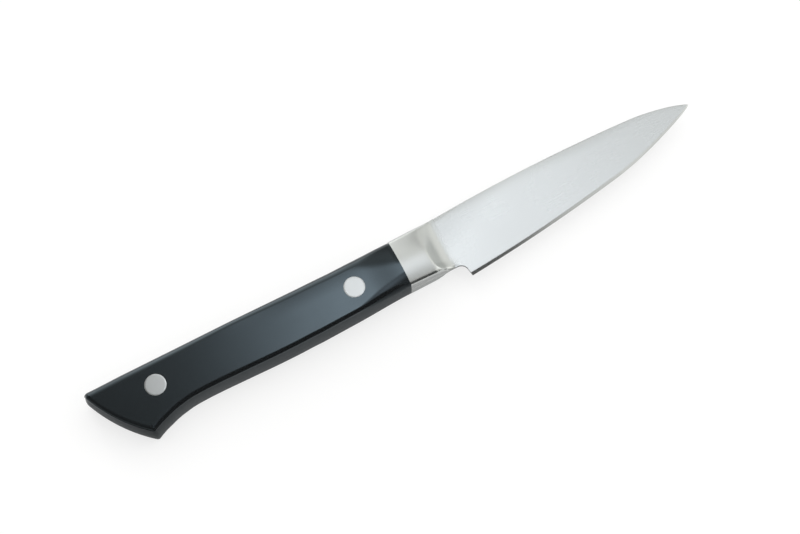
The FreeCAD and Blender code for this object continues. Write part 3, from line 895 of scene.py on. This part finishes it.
# %% Outline of the handle
BELLY, BACK, TAPER = -7.6, 7.0, 16.55
FLARE = np.array([-21.45, BELLY])
BEAK = np.array([-36.25, -12.4])
BUTT = np.array([-50.45, BACK])
BUTT_RADIUS, CORNER = 45.0, 1.5


def circles_meet(a, ra, b, rb, side):
    """Where two circles cross: along the line of centres, then square to it."""
    gap = b - a
    far = math.hypot(*gap)
    along = (far ** 2 + ra ** 2 - rb ** 2) / (2 * far)
    aside = math.sqrt(ra ** 2 - along ** 2)
    return a + gap / far * along + side * aside * np.array([-gap[1], gap[0]]) / far


def angle_of(centre, point):
    """The direction of a point seen from a centre, kept between 0 and a full turn."""
    return math.atan2(*(point - centre)[::-1]) % math.tau


flare_radius = ((FLARE - BEAK) @ (FLARE - BEAK)) / (2 * (FLARE[1] - BEAK[1]))
flare_centre = FLARE - np.array([0, flare_radius])
butt_centre = centre_of(BEAK, BUTT, BUTT_RADIUS, -1)
beak_centre = circles_meet(
    butt_centre, BUTT_RADIUS - CORNER, flare_centre, flare_radius + CORNER, -1)
top_y = BACK - CORNER
top_reach = math.sqrt((BUTT_RADIUS - CORNER) ** 2 - (top_y - butt_centre[1]) ** 2)
top_centre = np.array([butt_centre[0] - top_reach, top_y])
flare_stop = angle_of(flare_centre, beak_centre)
beak_start = (flare_stop + math.pi) % math.tau
butt_start, butt_stop = angle_of(butt_centre, beak_centre), angle_of(butt_centre, top_centre)
tip_turn = (butt_stop + QUARTER) / 2
print("beak corner", beak_centre.round(2), "butt corner", top_centre.round(2))

# %% [markdown]
# The edge round has to follow the outline, also round the butt. A bevel tool could round a solid,
# but not with a radius that changes along its edges. So there are two rows of points, one along the
# belly and round the butt and one along the back, and every point knows the way inwards.

# %% Points along the outline
BELLY_POINTS, TAPER_POINTS, FLARE_POINTS = 30, 46, 36
BEAK_POINTS, BUTT_POINTS, CORNER_POINTS = 13, 44, 10
UP, DOWN = (0.0, 1.0), (0.0, -1.0)


def tapered(x, behind, at_seam):
    """A line of the handle: level as far as the taper, then straight to its place at the seam."""
    return behind + (at_seam - behind) * np.clip((x - TAPER) / (SEAM - TAPER), 0, 1)


def on_circle(centre, radius, start, stop, count):
    """Points on a circle from one angle to another: cosine and sine times the radius."""
    turn = steps(start, stop, count)
    return centre + radius * np.stack([np.cos(turn), np.sin(turn)], axis=-1)


belly_x = np.concatenate([steps(SEAM, TAPER, TAPER_POINTS),
                          steps(TAPER, FLARE[0], BELLY_POINTS)[1:]])
belly = np.stack([belly_x, tapered(belly_x, BELLY, NECK_BELLY)], -1)
flare = on_circle(flare_centre, flare_radius, QUARTER, flare_stop, FLARE_POINTS)[1:]
beak = on_circle(beak_centre, CORNER, beak_start, butt_start, BEAK_POINTS)[1:]
butt = on_circle(butt_centre, BUTT_RADIUS, butt_start, butt_stop, BUTT_POINTS)[1:]
corner = on_circle(top_centre, CORNER, butt_stop, tip_turn, CORNER_POINTS)[1:]
lower = np.concatenate([belly, flare, beak, butt, corner])
lower_in = np.concatenate([
    np.broadcast_to(UP, belly.shape), (flare - flare_centre) / flare_radius,
    (beak_centre - beak) / CORNER, (butt_centre - butt) / BUTT_RADIUS,
    (top_centre - corner) / CORNER])

above_x = np.concatenate([belly, flare])[:, 0]
last_x = steps(above_x[-1], top_centre[0], len(beak) + len(butt) + 1)[1:]
back_x = np.concatenate([above_x, last_x])
back = np.stack([back_x, tapered(back_x, BACK, SEAM_BACK)], -1)
over = on_circle(top_centre, CORNER, QUARTER, tip_turn, CORNER_POINTS)[1:]
upper = np.concatenate([back, over])
upper_in = np.concatenate([np.broadcast_to(DOWN, back.shape), (top_centre - over) / CORNER])
print("points on each outline:", len(lower), len(upper))

# %% [markdown]
# The sides of the scales are flat, for a steady grip, and roll down towards the bolster to meet its
# crown. A blend between the two could do it, but on the real handle the roll starts from two lines,
# which leave the handle's edges and draw together at the seam, and those lines show in the shine.

# %% Sides of the handle
FLAT, LOWERED_FROM, CONE_FROM = 5.97, 34.0, 28.0
BELLY_LINES, BELLY_POWER, BELLY_FALL = (-7.9, -1.94), 0.42, 8.8
BACK_TOP, BACK_POWER = 6.2, 1.5
BELLY_ONSET, BACK_ONSET, LEAST_ONSET = 0.8, 8.0, 0.001
CAMBER_FROM, CAMBER_RADIUS, CAMBERED = 1.0, 150.0, (-8.0, 15.0)


def rolled(past, onset, radius):
    """How far a side has fallen past a line: the distance squared over twice a radius, after a soft
    onset, so times the distance over itself plus the onset."""
    past, onset = np.maximum(past, 0), np.maximum(onset, LEAST_ONSET)
    return past ** 3 / (past + onset) / (2 * radius)


def side_height(x, y):
    """The scale's side: flat, a little cambered at the back, lowered to the bolster's apex, and
    rolled down past two lines, which move by powers of the share of the way to the seam."""
    share = np.clip((x - CONE_FROM) / (SEAM - CONE_FROM), 0, 1)
    belly_line = BELLY_LINES[0] + (BELLY_LINES[1] - BELLY_LINES[0]) * share ** BELLY_POWER
    at_belly = rolled(belly_line - y, BELLY_ONSET * (1 - share), BELLY_FALL) * (share > 0)
    back_line = BACK_TOP * (1 - share) ** BACK_POWER
    at_back = rolled(y - back_line, BACK_ONSET * np.sqrt(1 - share), CROWN_RADIUS)
    camber = np.maximum(y - CAMBER_FROM, 0) ** 2 / (2 * CAMBER_RADIUS)
    camber = camber * smooth(x, *CAMBERED) * (1 - share)
    lowered = (FLAT - SEAM_APEX) * smooth(x, LOWERED_FROM, SEAM)
    return FLAT - lowered - at_belly - at_back - camber


print("side at the butt and at the seam:", FLAT, round(float(side_height(SEAM, 0.0)), 2), "mm")

# %% [markdown]
# Between the sides the handle has a wall, slightly barrel-shaped, with a round along its edge. A
# constant bevel would be quicker, but hand-sanded edges swell and change their radius, and the
# light along them wanders. Each row climbs the wall on a large arc and turns in over a small one.

# %% Edge rounds of the handle
BELLY_BARREL, BACK_BARREL = 26.0, 400.0
WALL_POINTS, ROUND_POINTS = 8, 13
# Places along the handle, and the swell or the radius at each of them
BELLY_SWELL = ([-35.3, -31, -26, -18, -13, 3, 9, 14, 28, 42],
               [0, 0.5, 0.58, 0.27, 0.28, 0.58, 0.57, 0.42, 0.41, 0.22])
BACK_SWELL = ([-46, -38, -24, 3, 17, 21, 26, 33, 37, 43],
              [0, 0.18, 0.25, 0.33, 0.35, 0.2, -0.02, -0.1, -0.18, -0.18])
BELLY_ROUND = ([TAPER, 29, 33, 36, 41, SEAM], [1.25, 1.2, 1.5, 1.8, 1.7, 0.9])
BACK_ROUND = ([-40, -22, -5, 7, 25, 34, 40, SEAM], [2.0, 1.9, 1.5, 1.7, 2.0, 2.2, 1.7, 1.5])


def edge_rows(points, inward, swell, rounding, barrel):
    """Rows from the middle plane up a wall of large radius and over a small round: each point of an
    arc lies one radius from its centre in the direction that the surface faces there, and both arcs
    share the direction where they meet. The top of the rows is bent to the side's own height."""
    radius = np.interp(points[:, 0], *rounding)
    points = points - np.interp(points[:, 0], *swell)[:, None] * inward
    foot = side_height(points[:, 0], points[:, 1])
    lean = np.arcsin(np.clip((foot - radius) / (barrel - radius), 0, 1))
    wall = lean[:, None] * np.linspace(0, 1, WALL_POINTS)
    turn = lean[:, None] + (QUARTER - lean)[:, None] * np.linspace(0, 1, ROUND_POINTS)[1:]
    small = radius[:, None]
    wall_in, wall_h = barrel * (1 - np.cos(wall)), barrel * np.sin(wall)
    turn_in = wall_in[:, -1:] + small * (np.cos(lean)[:, None] - np.cos(turn))
    turn_h = wall_h[:, -1:] + small * (np.sin(turn) - np.sin(lean)[:, None])
    into, rise = np.hstack([wall_in, turn_in]), np.hstack([wall_h, turn_h])
    xy = points[:, None] + inward[:, None] * into[..., None]
    share = rise / rise[:, -1:]
    return xy, rise + share ** 3 * (side_height(xy[..., 0], xy[..., 1]) - foot[:, None])


low_xy, low_h = edge_rows(lower, lower_in, BELLY_SWELL, BELLY_ROUND, BELLY_BARREL)
top_xy, top_h = edge_rows(upper, upper_in, BACK_SWELL, BACK_ROUND, BACK_BARREL)
print("rows over the edges:", low_xy.shape[1], top_xy.shape[1])

# %% [markdown]
# The last rows cross the flat from round to round, and on the inner side each scale has a pocket
# for the tang. It could be cut with a boolean, but four more points in each loop do it. The rivets
# fill their holes, so the scales need none.

# %% Handle scales
FLAT_POINTS = 40
POCKET_TOP, POCKET_FOOT, POCKET_DEEP, POCKET_ROOM = 4.55, -4.35, 1.15, 0.15
POCKET_WITHIN, LEAST_DEPTH = (0.05, 0.95), 1e-6

across = steps(0, 1, FLAT_POINTS)[1:-1]
mid_xy = low_xy[:, -1:] + across[:, None] * (top_xy[:, -1:] - low_xy[:, -1:])
mid_h = side_height(mid_xy[..., 0], mid_xy[..., 1])
pocket_end = TANG_END - POCKET_ROOM
in_pocket = (lower[:, 0] > pocket_end) & (upper[:, 0] > pocket_end)
pocket_y = np.array([POCKET_TOP, POCKET_TOP, POCKET_FOOT, POCKET_FOOT])
depth = np.maximum(upper[:, 1:] - lower[:, 1:], LEAST_DEPTH)
run = np.clip((upper[:, 1:] - pocket_y) / depth, *POCKET_WITHIN)
pocket_xy = upper[:, None] + run[..., None] * (lower - upper)[:, None]
pocket_h = in_pocket[:, None] * np.array([0, POCKET_DEEP, POCKET_DEEP, 0])
xy = np.concatenate([low_xy, mid_xy, top_xy[:, ::-1], pocket_xy], axis=1)
h = np.concatenate([low_h, mid_h, top_h[:, ::-1], pocket_h], axis=1)
for name, side in (("handle_scale_right", 1), ("handle_scale_left", -1)):
    loops = np.concatenate([xy, (MIDDLE + side * h)[..., None]], axis=-1)
    place(name, loops, black_scale, "handle_black")

# %% [markdown]
# Two cutler's rivets hold the scales, each a barrel with a round head and a pin with the same head
# that is pressed into it from the far side. A cylinder could stand for a head, but a turned profile
# also gives the barely domed top and the broken edge that catch the light.

# %% Rivets
RIVET_X, THICK = 30.55, 2 * MIDDLE
HEAD, HEAD_DEEP, DOME, BROKEN = 3.05, 1.6, 0.008, 0.05
BARREL, BORE, PIN = 2.0, 1.44, 1.4
BARREL_MOUTH, BORE_END, PIN_END = 2.0, 10.6, 10.2
DOME_RINGS, BROKEN_RINGS, RING_POINTS = 8, 6, 72


def head_profile():
    """Radius and depth of a head from its middle to its rim: a shallow parabola, then a quarter
    round."""
    r = steps(0, HEAD - BROKEN, DOME_RINGS)
    turn = steps(0, QUARTER, BROKEN_RINGS)[1:]
    return (np.concatenate([r, HEAD - BROKEN + BROKEN * np.sin(turn)]),
            np.concatenate([DOME * (r / HEAD) ** 2, DOME + BROKEN * (1 - np.cos(turn))]))


def turned(radius, level, axis_x):
    """Loops of a turned piece: at each level a circle of that radius round the rivet's axis."""
    turn = np.linspace(0, math.tau, RING_POINTS, endpoint=False)
    ring = np.stack([np.cos(turn), np.sin(turn)], -1)
    xy = np.array([axis_x, 0.0]) + radius[:, None, None] * ring
    return np.concatenate([xy, np.broadcast_to(level[:, None, None], xy.shape[:2] + (1,))], -1)


head_r, head_down = head_profile()
under_head = THICK - HEAD_DEEP
barrel_r = np.concatenate([head_r, [HEAD, BARREL, BARREL, BORE, BORE, 0]])
barrel_z = np.concatenate([THICK - head_down, [under_head, under_head, BARREL_MOUTH, BARREL_MOUTH,
                                               BORE_END, BORE_END]])
pin_r = np.concatenate([head_r, [HEAD, PIN, PIN, 0]])
pin_z = np.concatenate([head_down, [HEAD_DEEP, HEAD_DEEP, PIN_END, PIN_END]])
for end, axis_x in (("front", RIVET_X), ("rear", -RIVET_X)):
    place(end + "_rivet_barrel", turned(barrel_r, barrel_z, axis_x), flush_rivet, "rivet_steel")
    place(end + "_rivet_pin", turned(pin_r, pin_z, axis_x), flush_rivet, "rivet_steel")
